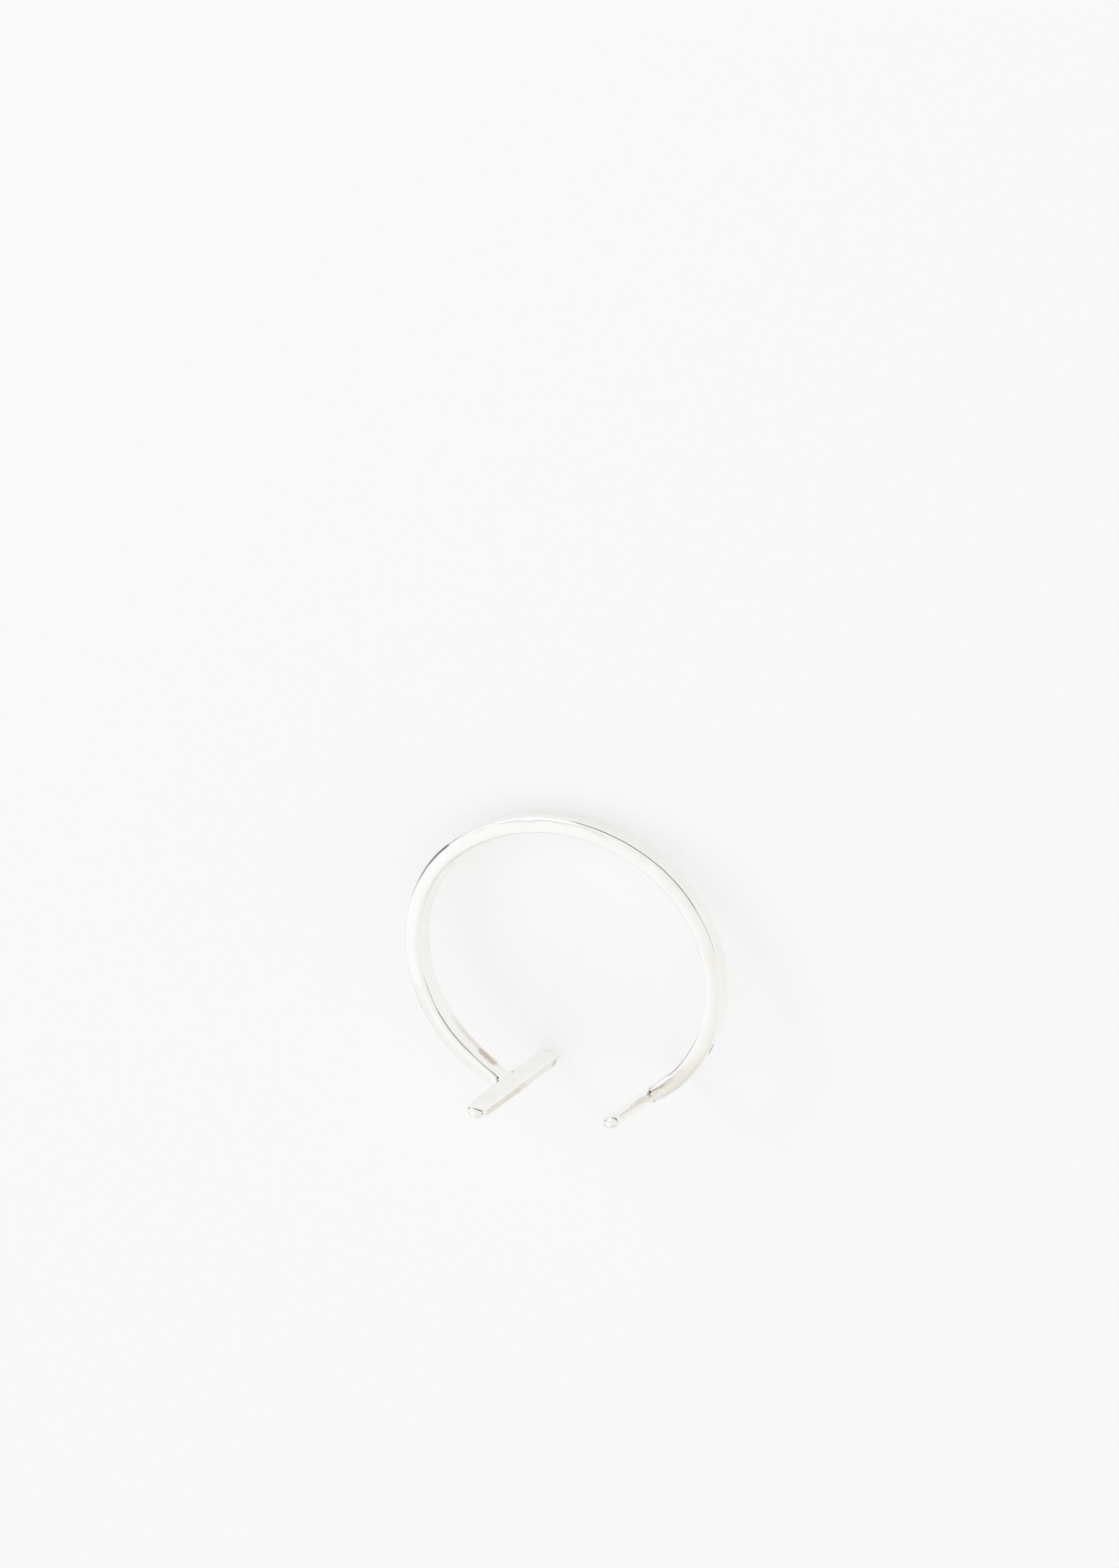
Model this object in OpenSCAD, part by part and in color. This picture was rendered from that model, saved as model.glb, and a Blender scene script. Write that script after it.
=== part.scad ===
// Open silver ring. A thin flattened band bends around the finger and stops short of closing.
// Each end of the band is soldered to the middle of a short flat crossbar, so that the gap lies
// between two bars that run along the finger.
//
// The ring is drawn in its own frame and then laid down as it rests. In its own frame the origin
// is the middle of the band's back, x runs across the gap, y points away from the gap, and z runs
// along the finger. The side towards -z goes down: it rests on the ends of both crossbars and on
// the outer edge of the back, with the gap side raised.

/* [Band] */
// Radius of the flatter back, to the middle of the band
back_r = 11; // [10:0.5:12]
// Half of the angle that the back covers
back_half_angle = 33.5; // [30:0.5:37]
// Radius of the two sides, to the middle of the band
side_r = 8.05; // [7.5:0.05:8.6]
// Angle that each side covers, from the back to its crossbar
side_angle = 122; // [116:1:126]
// Thickness of the band, from the finger outwards
band_t = 1.05; // [0.95:0.05:1.3]
// Width of the band along the finger
band_w = 1.35; // [1.2:0.05:1.8]
// Radius of the band's long edges
band_edge_r = 0.2; // [0.1:0.05:0.3]
// Angle by which the band's section leans outwards at the top
band_lean = 5; // [2:1:7]
// Depth by which the finger side is filed flat where the band meets its crossbar
end_flat_depth = 0.35; // [0.2:0.05:0.45]

/* [Crossbars] */
// Width of a crossbar around the finger
bar_w = 1.25; // [1:0.05:1.4]
// Thickness of a crossbar, from the finger outwards
bar_t = 0.76; // [0.6:0.02:0.8]
// Distance by which the crossbars' outer faces stand proud of the band's
bar_proud = 0.08; // [0:0.02:0.1]
// Reach of both crossbars below the middle of the band
bar_low = 4.65; // [4:0.05:5.5]
// Reach of the left crossbar above the middle of the band
left_bar_high = 4.75; // [4:0.05:5.5]
// Reach of the right crossbar above the middle of the band
right_bar_high = 4.75; // [4:0.05:5.5]
// Angle by which the left crossbar turns in towards the finger
left_bar_turn = 10; // [0:1:12]
// Angle by which the right crossbar turns in towards the finger
right_bar_turn = 4; // [0:1:12]
// Angle by which the upper end of the right crossbar leans towards the finger
right_bar_lean = 2; // [0:0.5:3]
// Radius of the crossbars' long edges
bar_edge_r = 0.2; // [0.1:0.05:0.25]
// Radius of the dome at each end of a crossbar
bar_dome_r = 0.8; // [0.75:0.05:1.2]
// Radius of the solder in the corners between band and crossbar
solder_r = 0.3; // [0.2:0.05:0.4]

/* [Stamp] */
// Length around the finger of the shallow stamped panel inside the left end
stamp_length = 1.3; // [1:0.1:1.6]
// Width of the panel along the finger
stamp_width = 0.6; // [0.4:0.05:0.7]
// Depth of the panel
stamp_depth = 0.08; // [0.05:0.01:0.1]

/* [Hidden] */
$fn = 48;

// Where the sides start and end, as angles about the middle of their own arc
side_start = 90 - back_half_angle;
side_end = side_start - side_angle;
side_centre = [
    (back_r - side_r) * cos(side_start),
    (back_r - side_r) * sin(side_start) - back_r
];

// The flat on the finger side starts where a plane of that depth leaves the round inner face
inner_r = side_r - band_t / 2;
end_flat_angle = acos(inner_r / (inner_r + end_flat_depth));
// A hair of extra depth makes the plane cross the round face instead of only touching it
flat_bite = 0.01;

// The sides are this much finer than the back all round, and run on inside it, to fuse with it
side_ease = 0.005;
back_lap_angle = 1;

// Length of band that runs on inside the crossbar
lap = 0.12;
lap_angle = lap / side_r * 180 / PI;
// Solder reaches this far into both pieces, to fuse with them
solder_root = 0.06;

// Middle of the stamp: distance from the crossbar, and height along the finger
stamp_from_bar = 1.45;
stamp_height = -0.18;

// A point of the right crossbar, from the end of the band: outwards, and along into the gap
function end_point(turn, out, along) =
    side_centre
    + side_r * [cos(side_end), sin(side_end)]
    + out * [cos(side_end - turn), sin(side_end - turn)]
    + along * [sin(side_end - turn), -cos(side_end - turn)];
bar_middle = (band_t - bar_t) / 2 + bar_proud;

// Each crossbar rests on the dome of its lower end. The middle of that dome, as [y, z]
bar_foot = [end_point((left_bar_turn + right_bar_turn) / 2, bar_middle, bar_w / 2)[1], bar_dome_r - bar_low];
// The back rests on its outer lower edge. The middle of that edge's rounding, as [y, z]
back_foot = [
    (band_t / 2 - band_edge_r) * cos(band_lean) - (band_w / 2 - band_edge_r) * sin(band_lean),
    -(band_t / 2 - band_edge_r) * sin(band_lean) - (band_w / 2 - band_edge_r) * cos(band_lean)
];
// The tilt puts the lowest points of both feet level
feet = back_foot - bar_foot;
rest_tilt = atan(feet[1] / feet[0]) + asin((bar_dome_r - band_edge_r) / norm(feet));
rest_lift = band_edge_r + back_foot[0] * sin(rest_tilt) - back_foot[1] * cos(rest_tilt);
// Middle of the resting ring from back to front. The front is the right crossbar's outer edge on
// the gap side, where the dome of its lower end cuts it off: the lean carries that end outwards.
// The back is the band's outer upper edge.
front_low = bar_dome_r - bar_low - sqrt(pow(bar_dome_r, 2) - pow(bar_w / 2, 2));
front_out = band_t / 2 + bar_proud - bar_edge_r - front_low * sin(right_bar_lean);
front_edge = end_point(right_bar_turn, front_out, bar_w - bar_edge_r);
front_y = (front_edge[1] - bar_edge_r) * cos(rest_tilt) + front_low * sin(rest_tilt);
back_edge = [band_t / 2 - band_edge_r, band_w / 2 - band_edge_r];
back_y = back_edge[0] * cos(rest_tilt + band_lean) + back_edge[1] * sin(rest_tilt + band_lean) + band_edge_r;
middle_y = (front_y + back_y) / 2;

// A rectangle with round corners, centred
module rounded_rect(width, height, r) {
    square([width, height - 2 * r], center = true);
    square([width - 2 * r, height], center = true);
    for (x = [-1, 1], y = [-1, 1])
        translate([x * (width / 2 - r), y * (height / 2 - r)])
            circle(r = r);
}

// An arc of the band about the z axis: from one angle to another, at a centreline radius
module band_arc(r, from, to, ease = 0) {
    rotate([0, 0, from])
        rotate_extrude(angle = to - from, $fn = 96)
            translate([r, 0])
                rotate(-band_lean)
                    rounded_rect(band_t - 2 * ease, band_w - 2 * ease, band_edge_r - ease);
}

// The right side of the band, with the flat filed on the finger side of its end
module band_side() {
    translate(side_centre)
        difference() {
            band_arc(side_r, side_end - lap_angle, side_start + back_lap_angle, side_ease);
            rotate([0, 0, side_end + end_flat_angle])
                translate([inner_r + flat_bite - 2 * band_t, -band_w * 3, -band_w])
                    cube([2 * band_t, band_w * 3, band_w * 2]);
        }
}

// A bar with round long edges and domed ends, centred and lying along z
module domed_bar(length) {
    intersection() {
        linear_extrude(length, center = true)
            rounded_rect(bar_t, bar_w, bar_edge_r);
        union() {
            cylinder(r = bar_dome_r, h = length - 2 * bar_dome_r, center = true);
            for (z = [-1, 1])
                translate([0, 0, z * (length / 2 - bar_dome_r)])
                    sphere(r = bar_dome_r);
        }
    }
}

// Solder that fills one corner between the band's upper face and the crossbar
module solder_corner() {
    side = solder_r + solder_root;
    translate([bar_middle, -solder_root, band_w / 2 - solder_root])
        rotate([0, 90, 0])
            linear_extrude(bar_t - 2 * bar_edge_r, center = true)
                difference() {
                    translate([-side, 0])
                        square(side);
                    translate([-side, side])
                        circle(r = solder_r);
                }
}

// The crossbar at the right end, with its solder
module crossbar(high, turn, lean) {
    translate(side_centre)
        rotate([0, 0, side_end])
            translate([side_r, 0, 0])
                rotate([0, -lean, -turn]) {
                    translate([bar_middle, -bar_w / 2, (high - bar_low) / 2])
                        domed_bar(high + bar_low);
                    for (z = [0, 1])
                        mirror([0, 0, z])
                            solder_corner();
                }
}

// Shallow panel pressed into the finger side of the left end
module stamp() {
    mirror([1, 0, 0])
        translate(side_centre)
            rotate([0, 0, side_end + end_flat_angle])
                translate([
                    inner_r + flat_bite + stamp_depth / 2,
                    stamp_from_bar - inner_r * tan(end_flat_angle),
                    stamp_height
                ])
                    cube([stamp_depth * 3, stamp_length, stamp_width], center = true);
}

module open_band() {
    color("silver")
        translate([0, -middle_y, rest_lift])
            rotate([-rest_tilt, 0, 0])
                difference() {
                    union() {
                        translate([0, -back_r, 0])
                            band_arc(back_r, side_start, 180 - side_start);
                        band_side();
                        mirror([1, 0, 0])
                            band_side();
                        crossbar(right_bar_high, right_bar_turn, right_bar_lean);
                        mirror([1, 0, 0])
                            crossbar(left_bar_high, left_bar_turn, 0);
                    }
                    stamp();
                }
}

open_band();
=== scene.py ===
# Open silver ring with a crossbar at each end, dressed in the shared frame.
#
# The ring is one closed mesh. A swept band runs into the sides of two bars, and every point is then
# pulled onto one surface that holds the round edges, the flats, the domed ends, the solder and the
# stamped panel. Its sizes are millimetres in the ring's own frame, as in the CAD source: the origin
# is the middle of the band's back, x runs across the gap, y points away from the gap and z runs
# along the finger.
import math
from collections import namedtuple
from itertools import product

import bmesh
import bpy
import numpy as np
from mathutils import Matrix, Vector


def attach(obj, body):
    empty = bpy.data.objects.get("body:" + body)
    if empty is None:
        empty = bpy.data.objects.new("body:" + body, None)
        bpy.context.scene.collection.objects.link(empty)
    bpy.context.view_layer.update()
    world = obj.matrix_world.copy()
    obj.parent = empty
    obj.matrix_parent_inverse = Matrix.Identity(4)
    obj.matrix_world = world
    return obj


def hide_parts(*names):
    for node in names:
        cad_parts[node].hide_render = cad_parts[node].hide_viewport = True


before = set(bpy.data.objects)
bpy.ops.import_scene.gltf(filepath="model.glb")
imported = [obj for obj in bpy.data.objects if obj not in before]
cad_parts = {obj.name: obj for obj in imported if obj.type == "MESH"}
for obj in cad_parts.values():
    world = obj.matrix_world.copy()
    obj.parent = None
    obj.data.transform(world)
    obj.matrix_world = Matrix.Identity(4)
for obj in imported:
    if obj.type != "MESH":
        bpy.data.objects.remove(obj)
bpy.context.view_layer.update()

# Band
BACK_R = 11.0
BACK_HALF_ANGLE = math.radians(33.5)
SIDE_R = 8.05
SIDE_ANGLE = math.radians(122)
BAND_T = 1.05
BAND_W = 1.35
BAND_EDGE_R = 0.2
# The faces towards the finger's tip and root are crowned: their fall per square of the distance
# from the middle
BAND_CROWN = 0.23
BAND_LEAN = math.radians(5)
# Radius at which the finger side begins to be filed flat, and where the flat ends at the crossbar
FLAT_R = 7.47
FLAT_END_R = 7.88
FLAT_EDGE_R = 0.12
# The flat's edge grows to this radius at the left crossbar
RUBBED_EDGE_R = 0.3

# Crossbars: the side of the gap, the reach above the middle of the band, the turn towards the finger,
# and the lean of the upper end towards the finger
Bar = namedtuple("Bar", "side high turn lean")
LEFT_BAR = Bar(-1, 4.75, math.radians(10), 0)
RIGHT_BAR = Bar(1, 4.75, math.radians(4), math.radians(2))
BAR_W = 1.3
BAR_T = 0.76
# How far the crossbars' outer faces stand proud of the band's
BAR_PROUD = 0.08
# How much narrower the upper ends are, on the side of the gap
BAR_TAPER = 0.05
BAR_LOW = 4.65
# Edge radii in the middle and at the ends of a crossbar, on its outer side and on the finger's side
OUTER_EDGE_R = (0.16, 0.34)
INNER_EDGE_R = (0.12, 0.26)
# The lower ends are less worn than the upper ones
LOW_END_WEAR = 0.4
BAR_CROWN = 0.12
BAR_DOME_R = 0.8
DOME_EDGE_R = 0.24
SOLDER_R = 0.3
SEAM_R = 0.03

# Stamped panel inside the left end
STAMP_LENGTH = 1.3
STAMP_WIDTH = 0.6
STAMP_DEPTH = 0.08
STAMP_FROM_BAR = 1.45
STAMP_HEIGHT = -0.18
STAMP_EDGE_R = 0.03

# A long worn facet on the outer upper edge of the left shoulder: the lengths from the middle of the
# back between which it comes in, stays and fades, how it faces, and its distance from the middle of
# the section
FACET_ALONGS = (6.45, 6.6, 8.2, 11.4)
FACET_TURN = math.radians(25)
FACET_REACH = 0.706
# A facet fades by moving outwards this far, and has this edge radius
FACET_FADE = 0.06
FACET_EDGE_R = 0.03
# Solder that was filed off slantwise along the finger side of the right joint: where it starts, how
# far it fills the flat, how it faces, and its distance from the middle of the section
RUN_STARTS = (21.7, 21.8)
RUN_FILL = 0.15
RUN_TURN = math.radians(-22)
RUN_REACH = 0.689

# A nick in the outer edge of the right side: its middle and its half sizes along, outwards and up
NICK_ALONG = 18.8
NICK_PLACE = (0.55, 0.22)
NICK_SIZE = (0.38, 0.07, 0.1)
# Pits in the solder: middle and radius
PITS = (
    ((4.94, -15.765, 0.70), 0.09),
    ((5.15, -16.38, 0.62), 0.08),
    ((-5.15, -15.79, 0.70), 0.08),
)
PIT_EDGE_R = 0.02

# Waves that filing and polishing by hand leave: depth, turns of phase per millimetre, phase
HAND_WAVES = (
    (0.009, (1.3, 1.9, 0.8), 0.4),
    (0.006, (-2.7, 1.6, 1.9), 2.1),
    (0.004, (3.1, 3.7, -2.9), 4.0),
)

# Where the ring rests: its tilt, and its own origin's place
REST_TILT = math.radians(13.4742)
REST_LIFT = 0.7535
MIDDLE_Y = -8.4212

SIDE_START = math.pi / 2 - BACK_HALF_ANGLE
SIDE_END = SIDE_START - SIDE_ANGLE
SIDE_CENTRE = (
    (BACK_R - SIDE_R) * math.cos(SIDE_START),
    (BACK_R - SIDE_R) * math.sin(SIDE_START) - BACK_R,
)
BAND_END = (
    SIDE_CENTRE[0] + SIDE_R * math.cos(SIDE_END),
    SIDE_CENTRE[1] + SIDE_R * math.sin(SIDE_END),
    0,
)
# Length of band that runs on inside its crossbar
BAND_LAP = BAR_W / 4
FLAT_ANGLE = math.acos(FLAT_R / FLAT_END_R)
BAR_MIDDLE = (BAND_T - BAR_T) / 2 + BAR_PROUD
HALF_BAND = BACK_R * BACK_HALF_ANGLE + SIDE_R * SIDE_ANGLE
FLAT_START = HALF_BAND - SIDE_R * FLAT_ANGLE
TO_CAD = (
    Matrix.Scale(0.001, 4)
    @ Matrix.Translation((0, -MIDDLE_Y, REST_LIFT))
    @ Matrix.Rotation(-REST_TILT, 4, "X")
)

# Quads of the mesh: over each round corner, between corners, and lengths in millimetres along the
# metal. The rows over a bar's corners are packed within the first radius.
BAR_CORNER = 0.16
CORNER_STEPS = 5
THICK_STEPS = 4
WIDE_STEPS = 14
ALONG_STEP = 0.1
END_STEP = 0.05
END_LENGTH = 2.6
# Rounds of pulling after which the points lie on the surface
PULL_ROUNDS = 6
# How far from an edge its lighter colour reaches: rubbed wear, and a painted highlight along the ridges
WEAR_AND_HIGHLIGHT_R = 0.2


# The surface, as distances that are negative inside the metal

def length(*parts):
    return np.sqrt(sum(part * part for part in parts))


def rounded_rect(x, y, width, height, r):
    qx = np.abs(x) - (width / 2 - r)
    qy = np.abs(y) - (height / 2 - r)
    return length(np.maximum(qx, 0), np.maximum(qy, 0)) + np.minimum(np.maximum(qx, qy), 0) - r


def shared(a, b, r):
    """What two solids share, with the edge between them rounded."""
    return np.minimum(-r, np.maximum(a, b)) + length(np.maximum(a + r, 0), np.maximum(b + r, 0))


def fused(a, b, r):
    """Two solids in one, with the corner between them filled."""
    return np.maximum(r, np.minimum(a, b)) - length(np.maximum(r - a, 0), np.maximum(r - b, 0))


def bar_axes(bar):
    """The end of the band's centreline, and a bar's directions outwards, into the gap and up."""
    angle = SIDE_END - bar.turn
    end = np.array(BAND_END)
    outward = np.array([math.cos(angle), math.sin(angle), 0])
    into_gap = np.array([math.sin(angle), -math.cos(angle), 0])
    up = np.array([0, 0, 1])
    leaning_out = outward * math.cos(bar.lean) + up * math.sin(bar.lean)
    leaning_up = up * math.cos(bar.lean) - outward * math.sin(bar.lean)
    mirror = np.array([bar.side, 1, 1])
    return end * mirror, leaning_out * mirror, into_gap * mirror, leaning_up * mirror


def band_places(p):
    """Length from the middle of the back, and the place in the section: outwards, and up the finger."""
    x = np.abs(p[:, 0])
    back_turn = np.arctan2(x, p[:, 1] + BACK_R)
    on_back = back_turn < BACK_HALF_ANGLE
    side_x = x - SIDE_CENTRE[0]
    side_y = p[:, 1] - SIDE_CENTRE[1]
    out = np.where(on_back, length(x, p[:, 1] + BACK_R) - BACK_R, length(side_x, side_y) - SIDE_R)
    side_turn = BACK_HALF_ANGLE * BACK_R + SIDE_R * (SIDE_START - np.arctan2(side_y, side_x))
    along = np.where(on_back, BACK_R * back_turn, side_turn)
    section_out = out * math.cos(BAND_LEAN) - p[:, 2] * math.sin(BAND_LEAN)
    section_up = out * math.sin(BAND_LEAN) + p[:, 2] * math.cos(BAND_LEAN)
    return along, section_out, section_up


def from_flat(p):
    """Distance outwards from the plane of the flat, and along it towards the crossbar."""
    side_x = np.abs(p[:, 0]) - SIDE_CENTRE[0]
    side_y = p[:, 1] - SIDE_CENTRE[1]
    turn = SIDE_END + FLAT_ANGLE
    out = side_x * math.cos(turn) + side_y * math.sin(turn) - FLAT_R
    along = side_x * math.sin(turn) - side_y * math.cos(turn)
    return out, along


def facet(section_out, section_up, turn, reach, cut):
    """Distance from the plane of a facet. It cuts fully at 1, and is clear of the metal at 0."""
    facing = section_out * math.sin(turn) + section_up * math.cos(turn)
    return facing - reach - FACET_FADE * (1 - cut)


def band_distance(p):
    along, section_out, section_up = band_places(p)
    on_left = p[:, 0] < 0
    on_right = p[:, 0] > 0
    crowned_up = np.abs(section_up) + BAND_CROWN * section_out ** 2
    wire = rounded_rect(section_out, crowned_up, BAND_T, BAND_W, BAND_EDGE_R)
    worn = np.interp(along, FACET_ALONGS, (0, 1, 1, 0)) * on_left
    wire = shared(wire, facet(section_out, section_up, FACET_TURN, FACET_REACH, worn), FACET_EDGE_R)
    run = np.interp(along, RUN_STARTS, (0, 1)) * on_right
    wire = shared(wire, facet(section_out, section_up, RUN_TURN, RUN_REACH, run), FACET_EDGE_R)
    fill_places = (RUN_STARTS[0], HALF_BAND, HALF_BAND + RUN_FILL)
    fill = np.interp(along, fill_places, (0, RUN_FILL, 0)) * on_right
    filed = np.where(along > FLAT_START, -from_flat(p)[0] - fill, -1)
    rubbed = np.clip((along - FLAT_START) / (HALF_BAND - FLAT_START), 0, 1) * on_left
    wire = shared(wire, filed, FLAT_EDGE_R + (RUBBED_EDGE_R - FLAT_EDGE_R) * rubbed)
    return np.maximum(wire, along - HALF_BAND - BAND_LAP)


def bar_distance(p, bar):
    """Distance from a crossbar, and the place outwards from the middle of its thickness."""
    end, outward, into_gap, upward = bar_axes(bar)
    out = (p - end) @ outward - BAR_MIDDLE
    across = (p - end) @ into_gap - BAR_W / 2
    upwards = (p - end) @ upward - (bar.high - BAR_LOW) / 2
    up = np.abs(upwards)
    half_length = (bar.high + BAR_LOW) / 2
    worn = np.clip(up / half_length, 0, 1) ** 2 * np.where(upwards > 0, 1, LOW_END_WEAR)
    across = np.where((across > 0) & (upwards > 0), across + BAR_TAPER * worn, across)
    outer_r = OUTER_EDGE_R[0] + (OUTER_EDGE_R[1] - OUTER_EDGE_R[0]) * worn
    inner_r = INNER_EDGE_R[0] + (INNER_EDGE_R[1] - INNER_EDGE_R[0]) * worn
    edge_r = np.where(out > 0, outer_r, inner_r)
    crowned_out = np.abs(out) + BAR_CROWN * across ** 2
    section = rounded_rect(crowned_out, across, BAR_T, BAR_W, edge_r)
    above_dome = np.maximum(up - (half_length - BAR_DOME_R), 0)
    dome = length(out, across, above_dome) - BAR_DOME_R
    return shared(section, dome, DOME_EDGE_R), out


def stamp_distance(p):
    flat_out, flat_along = from_flat(p)
    along = FLAT_R * math.tan(FLAT_ANGLE) - flat_along - STAMP_FROM_BAR
    up = p[:, 2] - STAMP_HEIGHT
    panel = rounded_rect(along, up, STAMP_LENGTH, STAMP_WIDTH, 2 * STAMP_EDGE_R)
    return np.where(p[:, 0] < 0, np.maximum(panel, flat_out - STAMP_DEPTH), 1)


def nick_distance(p):
    """About the distance to the nick, an ellipsoid."""
    along, section_out, section_up = band_places(p)
    reach = length(
        (along - NICK_ALONG) / NICK_SIZE[0],
        (section_out - NICK_PLACE[0]) / NICK_SIZE[1],
        (section_up - NICK_PLACE[1]) / NICK_SIZE[2],
    )
    return np.where(p[:, 0] > 0, (reach - 1) * NICK_SIZE[1], 1)


def unevenness(p):
    return sum(depth * np.sin(p @ np.array(turns) + phase) for depth, turns, phase in HAND_WAVES)


def ring_distance(p):
    metal = band_distance(p)
    for bar in (LEFT_BAR, RIGHT_BAR):
        crossbar, out = bar_distance(p, bar)
        # The solder is fullest in the middle of the bar's thickness and thins out at its faces
        solder = SEAM_R + (SOLDER_R - SEAM_R) * np.clip(1 - (2 * out / BAR_T) ** 2, 0, 1)
        metal = fused(metal, crossbar, solder)
    metal = shared(metal + unevenness(p), -stamp_distance(p), STAMP_EDGE_R)
    metal = shared(metal, -nick_distance(p), PIT_EDGE_R)
    for middle, r in PITS:
        metal = shared(metal, r - length(*(p - np.array(middle)).T), PIT_EDGE_R)
    return metal


def pulled_onto(p, distance, rounds):
    """Points moved along the steepest way onto the surface."""
    probe = 1e-4
    farthest = 0.2
    gentlest = 0.1
    for _ in range(rounds):
        slope = np.stack([
            (distance(p + probe * axis) - distance(p - probe * axis)) / (2 * probe) for axis in np.eye(3)
        ], axis=1)
        step = distance(p) / np.maximum((slope ** 2).sum(axis=1), gentlest)
        p = p - np.clip(step, -farthest, farthest)[:, None] * slope
    return p


# The mesh: rings of points along the band, and a grid over each bar

def spaced(size, r, middle_steps):
    """Places across one side of a section, closer together over its round corners."""
    corner = np.linspace(size / 2 - r, size / 2, CORNER_STEPS + 1)
    middle = np.linspace(-(size / 2 - r), size / 2 - r, middle_steps + 1)
    return np.concatenate([-corner[::-1], middle[1:-1], corner])


def edge_wear_and_highlight(x, y, width, height):
    """How near a place in a section is to one of its edges: 0 on the faces and 1 on the edge. The edges are
    painted lighter there, as rubbed wear and as a painted highlight along the ridges.
    """
    near_x = min(max((abs(x) - (width / 2 - WEAR_AND_HIGHLIGHT_R)) / WEAR_AND_HIGHLIGHT_R, 0), 1)
    near_y = min(max((abs(y) - (height / 2 - WEAR_AND_HIGHLIGHT_R)) / WEAR_AND_HIGHLIGHT_R, 0), 1)
    return near_x * near_y


def rim(columns, rows):
    """Steps once around a grid of columns and rows."""
    bottom = [(i, 0) for i in range(columns)]
    right = [(columns, j) for j in range(rows)]
    top = [(i, rows) for i in range(columns, 0, -1)]
    left = [(0, j) for j in range(rows, 0, -1)]
    return bottom + right + top + left


def bar_heights(bar):
    """Rows of points up a bar, with the band's own rows where it meets the bar."""
    low_steps = round((BAR_LOW - BAND_W / 2) / ALONG_STEP)
    high_steps = round((bar.high - BAND_W / 2) / ALONG_STEP)
    below = np.linspace(-BAR_LOW, -BAND_W / 2, low_steps + 1)[:-1]
    above = np.linspace(BAND_W / 2, bar.high, high_steps + 1)[1:]
    return np.concatenate([below, spaced(BAND_W, BAND_EDGE_R, WIDE_STEPS), above]), low_steps


def add_bar(bm, grain, worn, bar):
    """Quads over a bar's six sides, open where the band meets it, and the points around the opening."""
    end, outward, into_gap, upward = bar_axes(bar)
    outs = BAR_MIDDLE + spaced(BAR_T, BAR_CORNER, THICK_STEPS)
    alongs = BAR_W / 2 + spaced(BAR_W, BAR_CORNER, WIDE_STEPS)
    heights, first_row = bar_heights(bar)
    counts = (len(outs) - 1, len(alongs) - 1, len(heights) - 1)
    band_rows = 2 * CORNER_STEPS + WIDE_STEPS
    points = {}

    def point(*place):
        if place not in points:
            i, j, k = place
            spot = end + outs[i] * outward + alongs[j] * into_gap + heights[k] * upward
            points[place] = bm.verts.new(spot)
            points[place][grain] = (heights[k], outs[i], alongs[j])
            points[place][worn] = edge_wear_and_highlight(outs[i] - BAR_MIDDLE, alongs[j] - BAR_W / 2, BAR_T, BAR_W)
        return points[place]

    for axis, (u, v) in enumerate([(1, 2), (0, 2), (0, 1)]):
        for level, a, b in product((0, counts[axis]), range(counts[u]), range(counts[v])):
            if axis == 1 and level == 0 and first_row <= b < first_row + band_rows:
                continue
            corners = []
            for da, db in ((0, 0), (1, 0), (1, 1), (0, 1)):
                place = [level] * 3
                place[u] = a + da
                place[v] = b + db
                corners.append(point(*place))
            bm.faces.new(corners)
    return [point(i, 0, first_row + j) for i, j in rim(counts[0], band_rows)]


def band_stations():
    """Lengths from the middle of the back at which the band has a ring of points."""
    near_end = HALF_BAND - END_LENGTH
    rest = np.linspace(0, near_end, round(near_end / ALONG_STEP) + 1)
    last = np.linspace(near_end, HALF_BAND, round(END_LENGTH / END_STEP) + 1)
    half = np.concatenate([rest, last[1:-1]])
    return np.concatenate([-half[:0:-1], half])


def band_frame(along):
    """The band's section at a length from the middle of the back: its middle, outwards, up, and turn."""
    turn = abs(along) / BACK_R
    centre = Vector((0, -BACK_R, 0))
    r = BACK_R
    if turn > BACK_HALF_ANGLE:
        turn = BACK_HALF_ANGLE + (abs(along) - BACK_R * BACK_HALF_ANGLE) / SIDE_R
        centre = Vector((math.copysign(SIDE_CENTRE[0], along), SIDE_CENTRE[1], 0))
        r = SIDE_R
    radial = Vector((math.copysign(math.sin(turn), along), math.cos(turn), 0))
    up = Vector((0, 0, 1))
    out = radial * math.cos(BAND_LEAN) - up * math.sin(BAND_LEAN)
    leaning_up = radial * math.sin(BAND_LEAN) + up * math.cos(BAND_LEAN)
    return centre + r * radial, out, leaning_up, turn


def add_band_ring(bm, grain, worn, along):
    """One ring of points around the band's section."""
    middle, out, up, turn = band_frame(along)
    past_flat = max(turn - (math.pi / 2 - SIDE_END - FLAT_ANGLE), 0)
    inner = max(-BAND_T / 2, FLAT_R / math.cos(past_flat) - SIDE_R) if past_flat else -BAND_T / 2
    outs = spaced(BAND_T, BAND_EDGE_R, THICK_STEPS)
    outs = inner + (outs + BAND_T / 2) / BAND_T * (BAND_T / 2 - inner)
    ups = spaced(BAND_W, BAND_EDGE_R, WIDE_STEPS)
    ring = []
    for i, j in rim(len(outs) - 1, len(ups) - 1):
        vert = bm.verts.new(middle + out * outs[i] + up * ups[j])
        vert[grain] = (along, outs[i], ups[j])
        vert[worn] = edge_wear_and_highlight(outs[i], ups[j], BAND_T, BAND_W)
        ring.append(vert)
    return ring


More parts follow.
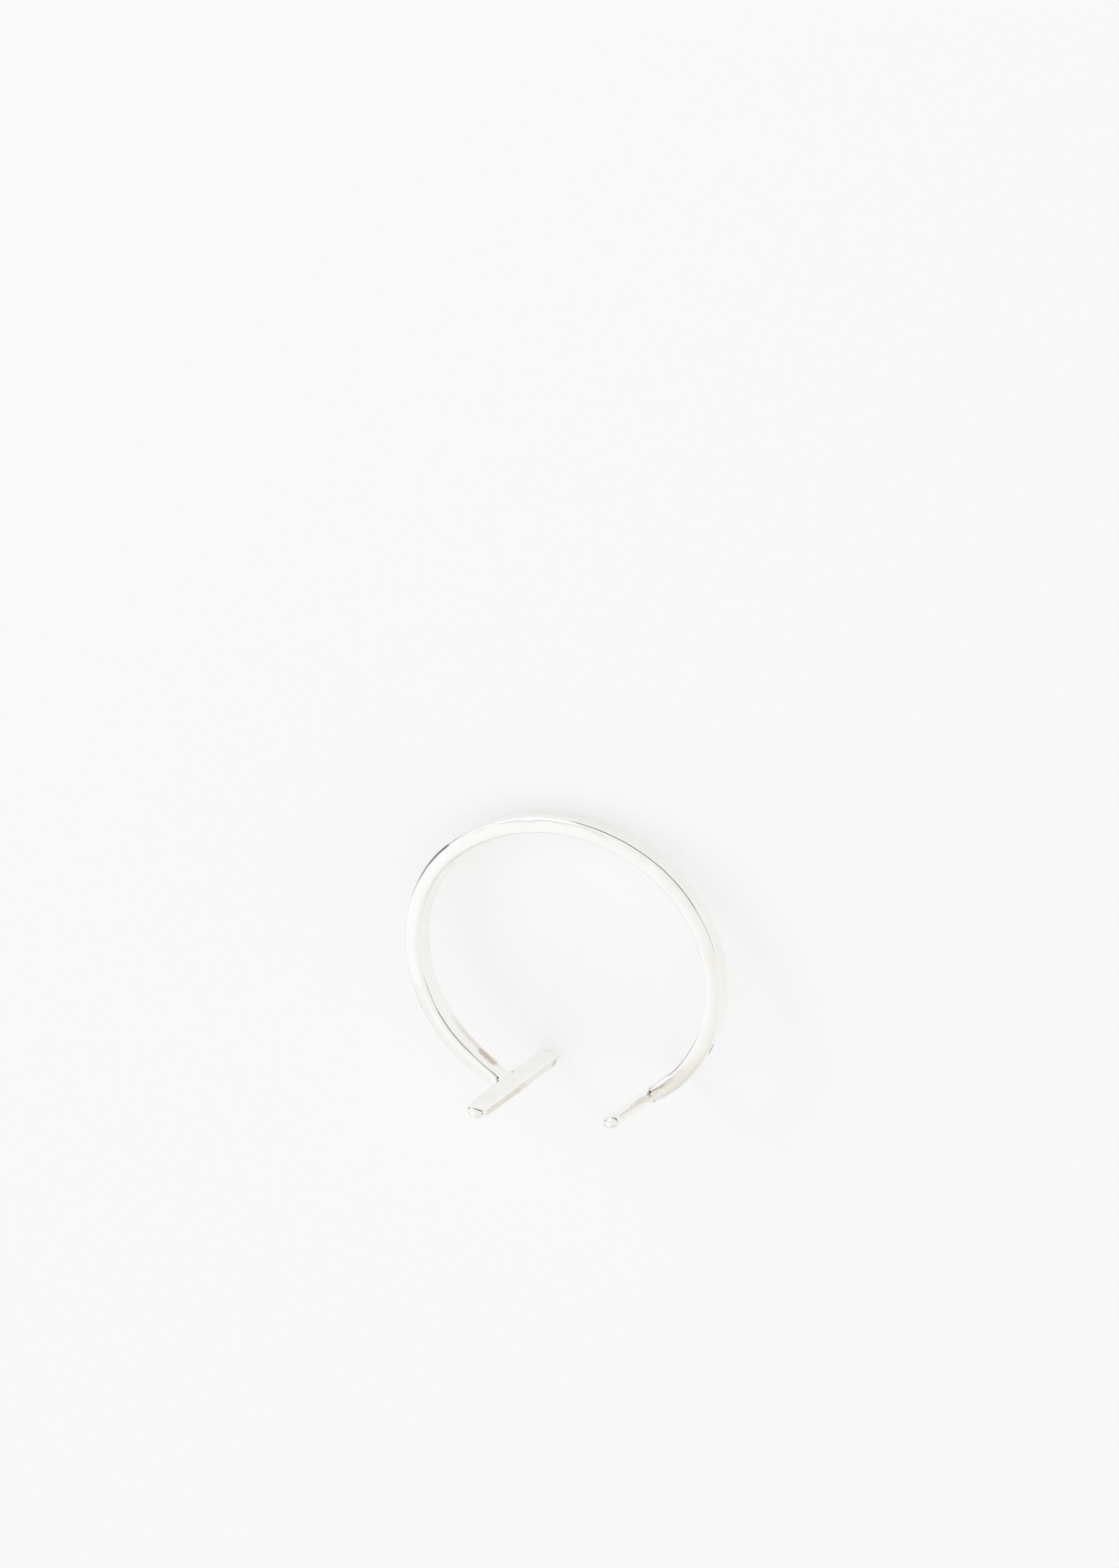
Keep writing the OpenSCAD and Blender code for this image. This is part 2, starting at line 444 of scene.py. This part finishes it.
def ring_mesh():
    bm = bmesh.new()
    grain = bm.verts.layers.float_vector.new("grain")
    # How near each point is to an edge, for the edges painted lighter as wear and as a painted highlight
    worn = bm.verts.layers.float.new("worn")
    left_opening = add_bar(bm, grain, worn, LEFT_BAR)
    right_opening = add_bar(bm, grain, worn, RIGHT_BAR)
    band_rings = [add_band_ring(bm, grain, worn, along) for along in band_stations()]
    rings = [left_opening] + band_rings + [right_opening]
    for ring, following in zip(rings, rings[1:]):
        for k in range(len(ring)):
            bm.faces.new((ring[k - 1], ring[k], following[k], following[k - 1]))
    bmesh.ops.recalc_face_normals(bm, faces=bm.faces)
    bm.verts.index_update()
    points = np.array([vert.co for vert in bm.verts])
    points = pulled_onto(points, ring_distance, PULL_ROUNDS)
    for vert, place in zip(bm.verts, points):
        vert.co = TO_CAD @ Vector(place)
    mesh = bpy.data.meshes.new("silver_ring")
    bm.to_mesh(mesh)
    bm.free()
    mesh.shade_smooth()
    return mesh


def add_ring():
    piece = bpy.data.objects.new("silver_ring", ring_mesh())
    bpy.context.collection.objects.link(piece)
    piece.data.materials.append(silver())
    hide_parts("open_band")
    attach(piece, "root")
    return piece


# Materials

def add_node(tree, kind, values=None, **settings):
    """A node with its settings, and with its inputs set to a value or linked to a socket."""
    node = tree.nodes.new(kind)
    for name, value in settings.items():
        setattr(node, name, value)
    for name, value in (values or {}).items():
        if isinstance(value, bpy.types.NodeSocket):
            tree.links.new(value, node.inputs[name])
        else:
            node.inputs[name].default_value = value
    return node


def ramp(tree, value, source, target):
    """A value taken smoothly from one range to another, and held at its ends."""
    return add_node(tree, "ShaderNodeMapRange", {
        "Value": value,
        "From Min": source[0],
        "From Max": source[1],
        "To Min": target[0],
        "To Max": target[1],
    }, interpolation_type="SMOOTHSTEP").outputs["Result"]


def mixed(tree, amount, low, high):
    """One colour or number turning into another."""
    kind = "RGBA" if isinstance(high, tuple) else "FLOAT"
    first, second, result = (6, 7, 2) if kind == "RGBA" else (2, 3, 0)
    node = add_node(tree, "ShaderNodeMix", {0: amount, first: low, second: high}, data_type=kind)
    return node.outputs[result]


def noise(tree, place, scale, detail, roughness=0.5):
    return add_node(tree, "ShaderNodeTexNoise", {
        "Vector": place,
        "Scale": scale,
        "Detail": detail,
        "Roughness": roughness,
    }).outputs["Fac"]


def calculated(tree, operation, *values):
    """What a sum, product or other calculation gives for numbers and sockets."""
    return add_node(tree, "ShaderNodeMath", dict(enumerate(values)), operation=operation).outputs[0]


def multiplied(tree, vector, factors):
    """A vector, each part times its own factor."""
    node = add_node(tree, "ShaderNodeVectorMath", {0: vector, 1: factors}, operation="MULTIPLY")
    return node.outputs["Vector"]


def length_towards(tree, vector, direction):
    node = add_node(tree, "ShaderNodeVectorMath", {0: vector, 1: direction}, operation="DOT_PRODUCT")
    return node.outputs["Value"]


def spot(place, along_axis, out_axis):
    """A frame at a place, with its x axis along the metal and its y axis outwards."""
    axes = Matrix((along_axis, out_axis, along_axis.cross(out_axis))).transposed()
    return Matrix.Translation(place) @ axes.to_4x4()


def band_spot(along, out, up):
    """A spot on the band: along it from the middle of the back, outwards and up the finger."""
    middle, out_axis, up_axis, _ = band_frame(along)
    return spot(middle + out_axis * out + up_axis * up, out_axis.cross(up_axis), out_axis)


def bar_spot(bar, height, out, across):
    """A spot on a crossbar, from its middle: up the finger, outwards and into the gap."""
    end, outward, into_gap, upward = bar_axes(bar)
    place = end + outward * (BAR_MIDDLE + out) + into_gap * (BAR_W / 2 + across) + upward * height
    return spot(Vector(place), Vector(upward), Vector(outward))


# The two narrow sides of a crossbar, from its middle
GAP_SIDE = BAR_W / 2
BAND_SIDE = -BAR_W / 2

# Marks of colour, stains and painted shade alike: a spot in the ring's frame, half sizes in millimetres,
# how soft the outline is and how grainy the mark, then its colour, roughness and strength
ColourMark = namedtuple("ColourMark", "spot size soft grainy colour roughness strength")
BROWN = (0.5, 0.36, 0.24, 1)
FIRE_PINK = (0.74, 0.67, 0.64, 1)
CREAM = (0.89, 0.88, 0.835, 1)
STRAW = (0.84, 0.795, 0.715, 1)
TAN = (0.76, 0.71, 0.62, 1)
OLIVE = (0.6, 0.58, 0.47, 1)
WEDGE_GREY = (0.92, 0.88, 0.86, 1)
# Painted shade for the crease line at the right joint
CREASE_SHADE_RED = (0.2, 0.06, 0.04, 1)
RUST = (0.35, 0.22, 0.18, 1)
# Black for soot, and for painted shade and painted dark reflections
SOOT_AND_SHADE = (0.05, 0.025, 0.02, 1)
# How far the speckle eats into a grainy mark's outline, how much of the mark it takes away, and
# between which values of the speckle
RAGGED = 0.6
GRAIN_DEPTH = 0.7
GRAIN_EDGE = (-0.08, 0.08)

# Lengths, from the middle of the back, of a faint bloom on the left side near its crossbar
BLOOM_ALONGS = (-17.2, -18.9, -20.6, -22.1)


def tarnish():
    """Stains that are rubbed off the edges."""
    bloom = [
        ColourMark(band_spot(along, 0.25, 0.66), (1.1, 0.35, 0.3), 0.45, 0.2, CREAM, 0.2, 0.9)
        for along in BLOOM_ALONGS
    ]
    return (
        ColourMark(band_spot(-20.8, -0.5, -0.28), (1.7, 0.3, 0.18), 0.6, 0.25, FIRE_PINK, 0.25, 0.6),
        *bloom,
        ColourMark(band_spot(21.6, 0.15, 0.66), (1.9, 0.45, 0.3), 0.7, 0.3, STRAW, 0.2, 0.75),
        ColourMark(bar_spot(RIGHT_BAR, 3.1, -0.15, BAND_SIDE), (1.2, 0.25, 0.1), 0.5, 0.4, WEDGE_GREY, 0.3, 0.7),
        ColourMark(bar_spot(LEFT_BAR, 2.6, 0, GAP_SIDE), (2.8, 0.5, 0.1), 0.4, 0.6, TAN, 0.3, 0.95),
        ColourMark(bar_spot(LEFT_BAR, -1.2, 0, GAP_SIDE), (3.2, 0.5, 0.1), 0.6, 0.6, OLIVE, 0.3, 0.3),
        ColourMark(bar_spot(LEFT_BAR, 0.35, 0.25, GAP_SIDE), (0.2, 0.12, 0.1), 0.4, 0.5, OLIVE, 0.4, 0.8),
        ColourMark(bar_spot(LEFT_BAR, -0.6, 0.25, GAP_SIDE), (0.2, 0.12, 0.1), 0.4, 0.5, OLIVE, 0.4, 0.8),
    )


def soot_and_painted_shade():
    """Dark marks that lie over everything else: brown in the stamped panel, a rust line at the right joint
    and dark spots in the pits and the nick, with painted shade along the right crease and at the left
    joint, and a painted dark reflection at the left crossbar's lower end.
    """
    return (
        ColourMark(band_spot(-22.12, -0.45, STAMP_HEIGHT), (0.68, 0.2, 0.25), 0.2, 0.5, BROWN, 0.35, 0.7),
        # Painted shade: a dark line along the crease on the finger side of the right joint
        ColourMark(band_spot(23.0, -0.18, 0.66), (0.6, 0.024, 0.08), 0.3, 0.2, CREASE_SHADE_RED, 0.5, 0.95),
        ColourMark(band_spot(22.1, -0.22, 0.66), (0.45, 0.02, 0.08), 0.3, 0.2, CREASE_SHADE_RED, 0.5, 0.8),
        # Dark spots in the pits and the nick
        ColourMark(band_spot(23.52, -0.15, 0.66), (0.07, 0.07, 0.1), 0.3, 0.0, SOOT_AND_SHADE, 0.6, 1.0),
        ColourMark(band_spot(NICK_ALONG, 0.52, 0.22), (0.34, 0.1, 0.14), 0.3, 0.2, SOOT_AND_SHADE, 0.5, 0.75),
        ColourMark(bar_spot(RIGHT_BAR, 0.6, 0.3, BAND_SIDE), (0.06, 0.06, 0.06), 0.3, 0.0, SOOT_AND_SHADE, 0.6, 0.7),
        ColourMark(bar_spot(RIGHT_BAR, 2.7, -0.31, -0.63), (1.5, 0.02, 0.06), 0.3, 0.2, RUST, 0.4, 0.85),
        # Painted shade: a short dark hook at the end of the crease line at the left joint
        ColourMark(bar_spot(LEFT_BAR, 0.6, -0.31, -0.74), (0.06, 0.13, 0.04), 0.3, 0.0, SOOT_AND_SHADE, 0.5, 0.85),
        # Painted shade: a grey smudge in the seam between the left crossbar and the band
        ColourMark(bar_spot(LEFT_BAR, -0.74, -0.37, -0.5), (0.13, 0.13, 0.13), 0.5, 0.3, SOOT_AND_SHADE, 0.5, 0.35),
        # Painted reflection: a dark line around the edge of the left crossbar's lower end
        ColourMark(bar_spot(LEFT_BAR, -4.25, 0.1, GAP_SIDE), (0.6, 0.25, 0.2), 0.5, 0.4, SOOT_AND_SHADE, 0.4, 0.4),
    )


def mark_amount(tree, place, speckle, colour_mark):
    """How much of a mark of colour shows: an ellipsoid with a soft outline, made grainy by the speckle."""
    location, rotation, _ = (TO_CAD @ colour_mark.spot).decompose()
    inside = add_node(tree, "ShaderNodeMapping", {
        "Vector": place,
        "Location": location * 1000,
        "Rotation": rotation.to_euler(),
        "Scale": colour_mark.size,
    }, vector_type="TEXTURE").outputs["Vector"]
    # The root of the length of the squares makes the ellipsoid boxier
    squares = multiplied(tree, inside, inside)
    reach = add_node(tree, "ShaderNodeVectorMath", {0: squares}, operation="LENGTH").outputs["Value"]
    reach = calculated(tree, "POWER", reach, 0.5)
    ragged = calculated(tree, "MULTIPLY_ADD", speckle, RAGGED * colour_mark.grainy, reach)
    amount = ramp(tree, ragged, (1 - colour_mark.soft, 1 + colour_mark.soft), (colour_mark.strength, 0))
    grains = ramp(tree, speckle, GRAIN_EDGE, (1, 1 - GRAIN_DEPTH * colour_mark.grainy))
    return calculated(tree, "MULTIPLY", amount, grains)


def with_colour_marks(tree, place, speckle, colour_marks, colour, rough):
    """Colour and roughness with marks of colour laid over them, one after another."""
    for colour_mark in colour_marks:
        amount = mark_amount(tree, place, speckle, colour_mark)
        colour = mixed(tree, amount, colour, colour_mark.colour)
        rough = mixed(tree, amount, rough, colour_mark.roughness)
    return colour, rough


CLEAR_SILVER = (0.973, 0.967, 0.947, 1)
DULL_SILVER = (0.955, 0.946, 0.915, 1)
# Edges painted lighter, partly rubbed wear and partly a painted highlight along the ridges: how near an
# edge that begins and is full, and how strong it is
WORN_AND_HIGHLIGHT_SILVER = (0.99, 0.986, 0.976, 1)
WEAR_AND_HIGHLIGHT_NEAR = (0.05, 0.6)
WEAR_AND_HIGHLIGHT_STRENGTH = 0.9
# Noise per millimetre: slow clouds of tone, polishing marks (along the metal, outwards, and up the
# finger), and the speckle of the stains
CLOUD_SCALE = 0.45
MARK_SCALE = (0.5, 11, 11)
SPECKLE_SCALE = 6.0
# Values of that noise between which the clouds turn from clear to dull, and the marks from smooth to
# rough, and the roughness of both
CLOUD_RANGE = (0.4, 0.65)
MARK_RANGE = (0.3, 0.7)
POLISH = (0.1, 0.2)
MARK_DEPTH = 3e-6
MARK_STRENGTH = 0.25


def silver():
    """Polished silver with slow changes of tone, lengthwise polishing marks and stains from the torch,
    edges painted lighter for wear and as a painted highlight, and dark marks that are partly dirt and
    partly painted shade and painted reflection.
    """
    material = bpy.data.materials.new("silver")
    material.use_nodes = True
    tree = material.node_tree
    shader = tree.nodes["Principled BSDF"]
    metres = add_node(tree, "ShaderNodeTexCoord").outputs["Object"]
    place = multiplied(tree, metres, (1000, 1000, 1000))
    grain = add_node(tree, "ShaderNodeAttribute", attribute_name="grain").outputs["Vector"]
    worn = add_node(tree, "ShaderNodeAttribute", attribute_name="worn").outputs["Fac"]

    clouds = noise(tree, place, CLOUD_SCALE, 3)
    marks = noise(tree, multiplied(tree, grain, MARK_SCALE), 1.0, 4, 0.6)
    speckle = calculated(tree, "SUBTRACT", noise(tree, place, SPECKLE_SCALE, 4, 0.65), 0.5)

    colour = mixed(tree, ramp(tree, clouds, CLOUD_RANGE, (0, 1)), CLEAR_SILVER, DULL_SILVER)
    rough = ramp(tree, marks, MARK_RANGE, POLISH)
    colour, rough = with_colour_marks(tree, place, speckle, tarnish(), colour, rough)
    # Edges painted lighter: rubbed wear, and a painted highlight along the ridges
    colour = mixed(tree, ramp(tree, worn, WEAR_AND_HIGHLIGHT_NEAR, (0, WEAR_AND_HIGHLIGHT_STRENGTH)), colour, WORN_AND_HIGHLIGHT_SILVER)
    # Dark marks over everything: brown, rust and dark spots in the hollows, and painted shade and painted
    # reflections
    colour, rough = with_colour_marks(tree, place, speckle, soot_and_painted_shade(), colour, rough)

    bumps = {"Height": marks, "Strength": MARK_STRENGTH, "Distance": MARK_DEPTH}
    marks_bump = add_node(tree, "ShaderNodeBump", bumps)
    tree.links.new(colour, shader.inputs["Base Color"])
    tree.links.new(rough, shader.inputs["Roughness"])
    tree.links.new(marks_bump.outputs["Normal"], shader.inputs["Normal"])
    shader.inputs["Metallic"].default_value = 1
    return material


FLOOR_COLOUR = (0.5, 0.503, 0.508, 1)
# A little light of the floor's own keeps the shadows as faint as the photograph's
FLOOR_GLOW = 0.49


def floor_paint():
    material = bpy.data.materials.new("pale_floor")
    material.use_nodes = True
    shader = material.node_tree.nodes["Principled BSDF"]
    shader.inputs["Base Color"].default_value = FLOOR_COLOUR
    shader.inputs["Roughness"].default_value = 0.7
    shader.inputs["Specular IOR Level"].default_value = 0.2
    shader.inputs["Emission Color"].default_value = (1, 1, 1, 1)
    shader.inputs["Emission Strength"].default_value = FLOOR_GLOW
    return material


# Floor, light and camera

FLOOR_HALF = 2.0


def add_floor():
    mesh = bpy.data.meshes.new("floor")
    corners = [(FLOOR_HALF * x, FLOOR_HALF * y, 0) for x, y in ((-1, -1), (1, -1), (1, 1), (-1, 1))]
    mesh.from_pydata(corners, [], [(0, 1, 2, 3)])
    floor = bpy.data.objects.new("floor", mesh)
    bpy.context.collection.objects.link(floor)
    mesh.materials.append(floor_paint())


# The dome of light is white on the left of the picture and dimmer and warmer on the right
DOME_BRIGHT = (1.01, 1.015, 1.035, 1)
DOME_DIM = (0.9, 0.895, 0.865, 1)
# The leftward part of a direction where the dome is still dim, and where it is fully bright
DOME_TURN = (-0.1, 0.7)
# Dark strips in the dome, which draw the thin dark lines on the metal's round edges. Each goes from
# one azimuth and elevation to another, with its half width, the width of its soft edge, and its depth
Dark = namedtuple("Dark", "start end half_width fade depth")
DARKS = (
    Dark((30, 16), (104, 9), 9, 4, 0.86),
    Dark((2, 12), (30, 14), 5, 3, 0.6),
    Dark((104, 4), (150, 1), 6, 3, 0.6),
    Dark((155, 16), (176, 7), 7, 3, 0.86),
    Dark((178, 2), (214, -2), 4, 3, 0.55),
    Dark((205, 6), (274, 8), 12, 5, 0.26),
    Dark((262, 46), (298, 2), 14, 10, 0.11),
    Dark((139, 64), (158, 51), 1.2, 1.2, 0.3),
)


def heading(azimuth, elevation):
    """Direction at an azimuth, anticlockwise from +X, and an elevation, both in degrees."""
    azimuth = math.radians(azimuth)
    elevation = math.radians(elevation)
    return Vector((
        math.cos(elevation) * math.cos(azimuth),
        math.cos(elevation) * math.sin(azimuth),
        math.sin(elevation),
    ))


def dark_strip(tree, direction, dark):
    """How much light a dark strip leaves in a direction."""
    first = heading(*dark.start)
    last = heading(*dark.end)
    middle = (first + last).normalized()
    pole = first.cross(last).normalized()
    reach = first.angle(last) / 2
    half_width = math.radians(dark.half_width)
    fade = math.radians(dark.fade)
    ahead = length_towards(tree, direction, middle)
    aside = calculated(tree, "ABSOLUTE", length_towards(tree, direction, pole))
    along = ramp(tree, ahead, (math.cos(reach + 2 * fade), math.cos(reach)), (0, 1))
    edges = (math.sin(half_width), math.sin(half_width + fade))
    across = ramp(tree, aside, edges, (dark.depth, 0))
    return calculated(tree, "SUBTRACT", 1.0, calculated(tree, "MULTIPLY", along, across))


def add_studio():
    world = bpy.data.worlds.new("studio")
    world.use_nodes = True
    tree = world.node_tree
    background = tree.nodes["Background"]
    direction = add_node(tree, "ShaderNodeTexCoord").outputs["Generated"]
    leftwards = length_towards(tree, direction, (-1, 0, 0))
    side = ramp(tree, leftwards, DOME_TURN, (0, 1))
    tree.links.new(mixed(tree, side, DOME_DIM, DOME_BRIGHT), background.inputs["Color"])
    light = 1.0
    for dark in DARKS:
        light = calculated(tree, "MULTIPLY", light, dark_strip(tree, direction, dark))
    tree.links.new(light, background.inputs["Strength"])
    bpy.context.scene.world = world


SOFTBOX_DIRECTION = Vector((-0.49, 0.73, 0.47))
SOFTBOX_DISTANCE = 0.6
SOFTBOX_SIZE = 0.2
SOFTBOX_POWER = 0.2


def add_softbox():
    """One large soft light from the upper left of the picture, for a faint shadow."""
    data = bpy.data.lights.new("softbox", "AREA")
    data.size = SOFTBOX_SIZE
    data.energy = SOFTBOX_POWER
    softbox = bpy.data.objects.new("softbox", data)
    softbox.location = SOFTBOX_DIRECTION.normalized() * SOFTBOX_DISTANCE
    softbox.rotation_euler = SOFTBOX_DIRECTION.to_track_quat("Z", "Y").to_euler()
    bpy.context.collection.objects.link(softbox)


CAMERA_AZIMUTH = math.radians(135.674)
CAMERA_ELEVATION = math.radians(46.898)
CAMERA_ROLL = math.radians(-141.058)
CAMERA_DISTANCE = 0.34966
# The point that the middle of the picture looks at
CAMERA_AIM = Vector((0.00042, 0.01013, -0.00067))
SENSOR = 36
LENS = 141.67


def add_camera():
    """The photograph's view of the ring: from above, and rolled so that the gap is at the bottom."""
    toward = Vector((
        math.cos(CAMERA_ELEVATION) * math.sin(CAMERA_AZIMUTH),
        -math.cos(CAMERA_ELEVATION) * math.cos(CAMERA_AZIMUTH),
        math.sin(CAMERA_ELEVATION),
    ))
    data = bpy.data.cameras.new("camera")
    data.sensor_width = SENSOR
    data.lens = LENS
    data.clip_start = 0.01
    camera = bpy.data.objects.new("camera", data)
    turned = toward.to_track_quat("Z", "Y").to_matrix().to_4x4() @ Matrix.Rotation(CAMERA_ROLL, 4, "Z")
    camera.matrix_world = Matrix.Translation(CAMERA_AIM + toward * CAMERA_DISTANCE) @ turned
    bpy.context.collection.objects.link(camera)
    bpy.context.scene.camera = camera


add_camera()
add_studio()
add_softbox()
add_floor()
add_ring()
bpy.context.scene.view_settings.view_transform = "Standard"
